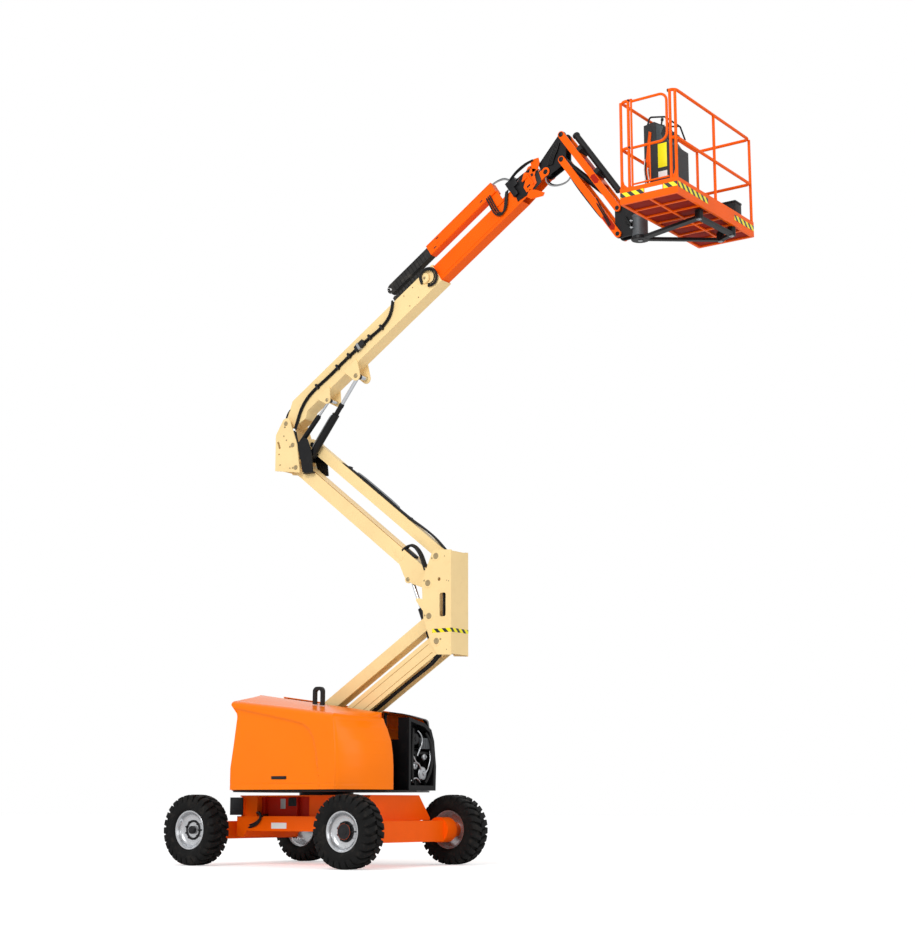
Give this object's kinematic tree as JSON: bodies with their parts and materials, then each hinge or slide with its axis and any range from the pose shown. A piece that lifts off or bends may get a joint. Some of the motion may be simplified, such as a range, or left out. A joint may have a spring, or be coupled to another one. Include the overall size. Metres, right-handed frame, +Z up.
{
  "type": "articulating_boom_lift",
  "caption": "Self-propelled articulating boom lift with a double-riser tower, a telescopic main boom, an articulated jib and a guarded work platform, on four wheels",
  "frame": {"origin": "ground plane under the slew axis", "axes": "+X from the steering axle to the drive axle, the way the boom points; +Y to the engine side; +Z up"},
  "size_m": [7.0986, 2.364, 8.555],
  "materials": {
    "orange_paint": "semi-gloss orange enamel",
    "black_paint": "satin black enamel",
    "orange_hood": "moulded cover, glossy orange",
    "cream_paint": "semi-gloss cream enamel",
    "rim_silver": "silver-white enamel",
    "tyre_rubber": "black rubber",
    "chrome_rod": "hard chrome",
    "black_plastic": "matt black"
  },
  "bodies": {
    "chassis": {"chassis_frame": "orange_paint", "fixed_axle": "orange_paint", "steer_axle": "black_paint", "slew_ring": "black_paint"},
    "steer_rod": {"steer_rod": "chrome_rod"},
    "knuckle_near": {"knuckle_near": "black_paint"},
    "knuckle_far": {"knuckle_far": "black_paint"},
    "wheel_steer_near": {"rim_steer_near": "rim_silver", "tyre_steer_near": "tyre_rubber"},
    "wheel_steer_far": {"rim_steer_far": "rim_silver", "tyre_steer_far": "tyre_rubber"},
    "wheel_drive_near": {"rim_drive_near": "rim_silver", "tyre_drive_near": "tyre_rubber"},
    "wheel_drive_far": {"rim_drive_far": "rim_silver", "tyre_drive_far": "tyre_rubber"},
    "turntable": {"turntable_frame": "cream_paint", "counterweight": "orange_paint", "engine": "black_paint", "engine_end": "black_paint", "service_unit": "black_paint"},
    "near_hood": {"hood_near": "orange_hood", "exhaust_arch": "black_paint"},
    "far_hood": {"hood_far": "orange_hood"},
    "lower_riser": {"lower_riser": "cream_paint"},
    "lower_riser_link": {"lower_riser_link": "cream_paint"},
    "lower_upright": {"lower_upright": "cream_paint"},
    "tower_barrel": {"tower_barrel": "black_paint"},
    "tower_rod": {"tower_rod": "chrome_rod"},
    "upper_riser": {"upper_riser": "cream_paint"},
    "upper_riser_link": {"upper_riser_link": "cream_paint"},
    "upper_upright": {"upper_upright": "cream_paint", "cylinder_bracket": "black_paint"},
    "lift_barrel": {"lift_barrel": "black_paint"},
    "lift_rod": {"lift_rod": "chrome_rod"},
    "master_barrel": {"master_barrel": "black_paint"},
    "master_rod": {"master_rod": "chrome_rod"},
    "main_boom": {"main_boom": "cream_paint", "cable_carrier": "black_paint"},
    "fly_boom": {"fly_boom": "orange_paint", "cable_tray": "orange_paint"},
    "boom_tip": {"boom_tip": "black_paint"},
    "slave_barrel": {"slave_barrel": "black_paint"},
    "slave_rod": {"slave_rod": "chrome_rod"},
    "jib_lower": {"jib_lower": "orange_paint"},
    "jib_upper": {"jib_upper": "orange_paint", "hose_tube": "black_paint"},
    "jib_barrel": {"jib_lift_barrel": "black_paint"},
    "jib_rod": {"jib_lift_rod": "chrome_rod"},
    "jib_end": {"jib_end": "black_paint"},
    "platform": {"platform_support": "black_paint", "platform_floor": "orange_paint", "guard_rails": "orange_paint", "console": "black_plastic"},
    "gate": {"gate": "orange_paint"}
  },
  "joints": [
    {"name": "slew", "type": "hinge", "parent": "chassis", "child": "turntable", "pos_m": [0, 0, 0.866], "axis": [0, 0, 1], "range_deg": [-177.5, 177.5]},
    {"name": "tower_lift", "type": "hinge", "parent": "turntable", "child": "lower_riser", "pos_m": [-0.16551, 0, 1.38419], "axis": [0, -1, 0], "range_deg": [-32, 32]},
    {"name": "lower_link_base", "type": "hinge", "parent": "turntable", "child": "lower_riser_link", "pos_m": [-0.27551, 0, 1.68519], "axis": [0, -1, 0], "range_deg": [-32.13, 32.13]},
    {"name": "lower_upright_pin", "type": "hinge", "parent": "lower_riser", "child": "lower_upright", "pos_m": [1.785, 0, 2.603], "axis": [0, -1, 0], "range_deg": [-32.13, 32.13]},
    {"name": "upper_riser_pin", "type": "hinge", "parent": "lower_upright", "child": "upper_riser", "pos_m": [1.658, 0, 3.297], "axis": [0, 1, 0], "range_deg": [-38.04, 38.04]},
    {"name": "upper_link_pin", "type": "hinge", "parent": "lower_upright", "child": "upper_riser_link", "pos_m": [1.775, 0, 3.61], "axis": [0, 1, 0], "range_deg": [-38.04, 38.04]},
    {"name": "upper_upright_pin", "type": "hinge", "parent": "upper_riser", "child": "upper_upright", "pos_m": [-0.43623, 0, 4.92731], "axis": [0, 1, 0], "range_deg": [-38.04, 38.04]},
    {"name": "tower_barrel_pin", "type": "hinge", "parent": "lower_riser", "child": "tower_barrel", "pos_m": [1.6562, 0, 2.46945], "axis": [0, -1, 0], "range_deg": [-37.66, 37.66]},
    {"name": "tower_rod_slide", "type": "slide", "parent": "tower_barrel", "child": "tower_rod", "axis": [-0.3722, 0, 0.9281], "range_m": [-0.2837, 0.2837]},
    {"name": "boom_lift", "type": "hinge", "parent": "upper_upright", "child": "main_boom", "pos_m": [-0.615, 0, 5.52], "axis": [0, 1, 0], "range_deg": [-42.3, 37.7]},
    {"name": "lift_barrel_pin", "type": "hinge", "parent": "upper_upright", "child": "lift_barrel", "pos_m": [-0.255, -0.06, 5.095], "axis": [0, 1, 0], "range_deg": [-38.57, 34.4]},
    {"name": "lift_rod_slide", "type": "slide", "parent": "lift_barrel", "child": "lift_rod", "axis": [0.6236, 0, 0.7817], "range_m": [-0.3151, 0.3534]},
    {"name": "master_barrel_pin", "type": "hinge", "parent": "upper_upright", "child": "master_barrel", "pos_m": [-0.495, -0.06, 5.225], "axis": [0, 1, 0], "range_deg": [-34.11, 30.41]},
    {"name": "master_rod_slide", "type": "slide", "parent": "master_barrel", "child": "master_rod", "axis": [0.6868, 0, 0.7268], "range_m": [-0.1921, 0.2154]},
    {"name": "telescope", "type": "slide", "parent": "main_boom", "child": "fly_boom", "axis": [0.8415, 0, 0.5402], "range_m": [-1, 0.75]},
    {"name": "boom_tip_level", "type": "hinge", "parent": "fly_boom", "child": "boom_tip", "pos_m": [3.29975, 0, 8.09977], "axis": [0, 1, 0], "range_deg": [-37.86, 42.46]},
    {"name": "slave_barrel_pin", "type": "hinge", "parent": "fly_boom", "child": "slave_barrel", "pos_m": [2.77323, 0, 7.80929], "axis": [0, -1, 0], "range_deg": [-1.53, 1.36]},
    {"name": "slave_rod_slide", "type": "slide", "parent": "slave_barrel", "child": "slave_rod", "axis": [0.7521, 0, 0.6591], "range_m": [-0.0764, 0.0857]},
    {"name": "jib_lift", "type": "hinge", "parent": "boom_tip", "child": "jib_lower", "pos_m": [3.53, 0, 8.2], "axis": [0, -1, 0], "range_deg": [-5, 125]},
    {"name": "jib_upper_pin", "type": "hinge", "parent": "boom_tip", "child": "jib_upper", "pos_m": [3.53, 0, 8.51], "axis": [0, -1, 0], "range_deg": [-5.26, 125.26]},
    {"name": "jib_end_pin", "type": "hinge", "parent": "jib_lower", "child": "jib_end", "pos_m": [4.27565, 0, 7.1351], "axis": [0, -1, 0], "range_deg": [-125.26, 5.26]},
    {"name": "jib_barrel_pin", "type": "hinge", "parent": "boom_tip", "child": "jib_barrel", "pos_m": [3.53, 0, 8.2], "axis": [0, -1, 0], "range_deg": [-4.94, 117.73]},
    {"name": "jib_rod_slide", "type": "slide", "parent": "jib_barrel", "child": "jib_rod", "axis": [0.7298, 0, -0.6837], "range_m": [-0.0223, 0.5319]},
    {"name": "platform_rotate", "type": "hinge", "parent": "jib_end", "child": "platform", "pos_m": [4.52, 0, 7.1], "axis": [0, 0, 1], "range_deg": [-90, 90]},
    {"name": "gate_hinge", "type": "hinge", "parent": "platform", "child": "gate", "pos_m": [4.94, -0.899, 7.7], "axis": [0, 0, 1], "range_deg": [0, 85]},
    {"name": "near_hood_hinge", "type": "hinge", "parent": "turntable", "child": "near_hood", "pos_m": [0, -0.24, 1.908], "axis": [-0.99, 0, 0.1413], "range_deg": [0, 55]},
    {"name": "far_hood_hinge", "type": "hinge", "parent": "turntable", "child": "far_hood", "pos_m": [0, 0.24, 1.908], "axis": [0.99, 0, -0.1413], "range_deg": [0, 55]},
    {"name": "steer", "type": "hinge", "parent": "chassis", "child": "knuckle_near", "pos_m": [-1.18, -0.8, 0.42], "axis": [0, 0, 1], "range_deg": [-35, 35]},
    {"name": "steer_far", "type": "hinge", "parent": "chassis", "child": "knuckle_far", "pos_m": [-1.18, 0.8, 0.42], "axis": [0, 0, 1], "range_deg": [-35.14, 35.14]},
    {"name": "steer_rod_slide", "type": "slide", "parent": "chassis", "child": "steer_rod", "axis": [0, 1, 0], "range_m": [-0.0932, 0.0932]},
    {"name": "wheel_steer_near_spin", "type": "hinge", "parent": "knuckle_near", "child": "wheel_steer_near", "pos_m": [-1.18, -1.025, 0.42], "axis": [0, 1, 0], "continuous": true},
    {"name": "wheel_steer_far_spin", "type": "hinge", "parent": "knuckle_far", "child": "wheel_steer_far", "pos_m": [-1.18, 1.025, 0.42], "axis": [0, 1, 0], "continuous": true},
    {"name": "wheel_drive_near_spin", "type": "hinge", "parent": "chassis", "child": "wheel_drive_near", "pos_m": [1.18, -1.025, 0.42], "axis": [0, 1, 0], "continuous": true},
    {"name": "wheel_drive_far_spin", "type": "hinge", "parent": "chassis", "child": "wheel_drive_far", "pos_m": [1.18, 1.025, 0.42], "axis": [0, 1, 0], "continuous": true}
  ],
  "couplings": [
    {"joint": "lower_link_base", "follows": "tower_lift", "ratio": 1},
    {"joint": "lower_upright_pin", "follows": "tower_lift", "ratio": -1},
    {"joint": "upper_riser_pin", "follows": "tower_lift", "ratio": 1.184},
    {"joint": "upper_link_pin", "follows": "tower_lift", "ratio": 1.184},
    {"joint": "upper_upright_pin", "follows": "tower_lift", "ratio": -1.184},
    {"joint": "tower_barrel_pin", "follows": "tower_lift", "ratio": -1.1723},
    {"joint": "tower_rod_slide", "follows": "tower_lift", "m_per_rad": 0.5059},
    {"joint": "lift_barrel_pin", "follows": "boom_lift", "ratio": 0.9085},
    {"joint": "lift_rod_slide", "follows": "boom_lift", "m_per_rad": -0.47686},
    {"joint": "master_barrel_pin", "follows": "boom_lift", "ratio": 0.8033},
    {"joint": "master_rod_slide", "follows": "boom_lift", "m_per_rad": -0.29068},
    {"joint": "boom_tip_level", "follows": "boom_lift", "ratio": -1},
    {"joint": "slave_barrel_pin", "follows": "boom_lift", "ratio": 0.036},
    {"joint": "slave_rod_slide", "follows": "boom_lift", "m_per_rad": -0.11563},
    {"joint": "jib_upper_pin", "follows": "jib_lift", "ratio": 1},
    {"joint": "jib_end_pin", "follows": "jib_lift", "ratio": -1},
    {"joint": "jib_barrel_pin", "follows": "jib_lift", "ratio": 0.9399},
    {"joint": "jib_rod_slide", "follows": "jib_lift", "m_per_rad": 0.2433},
    {"joint": "steer_far", "follows": "steer", "ratio": 1},
    {"joint": "steer_rod_slide", "follows": "steer", "m_per_rad": -0.152}
  ]
}
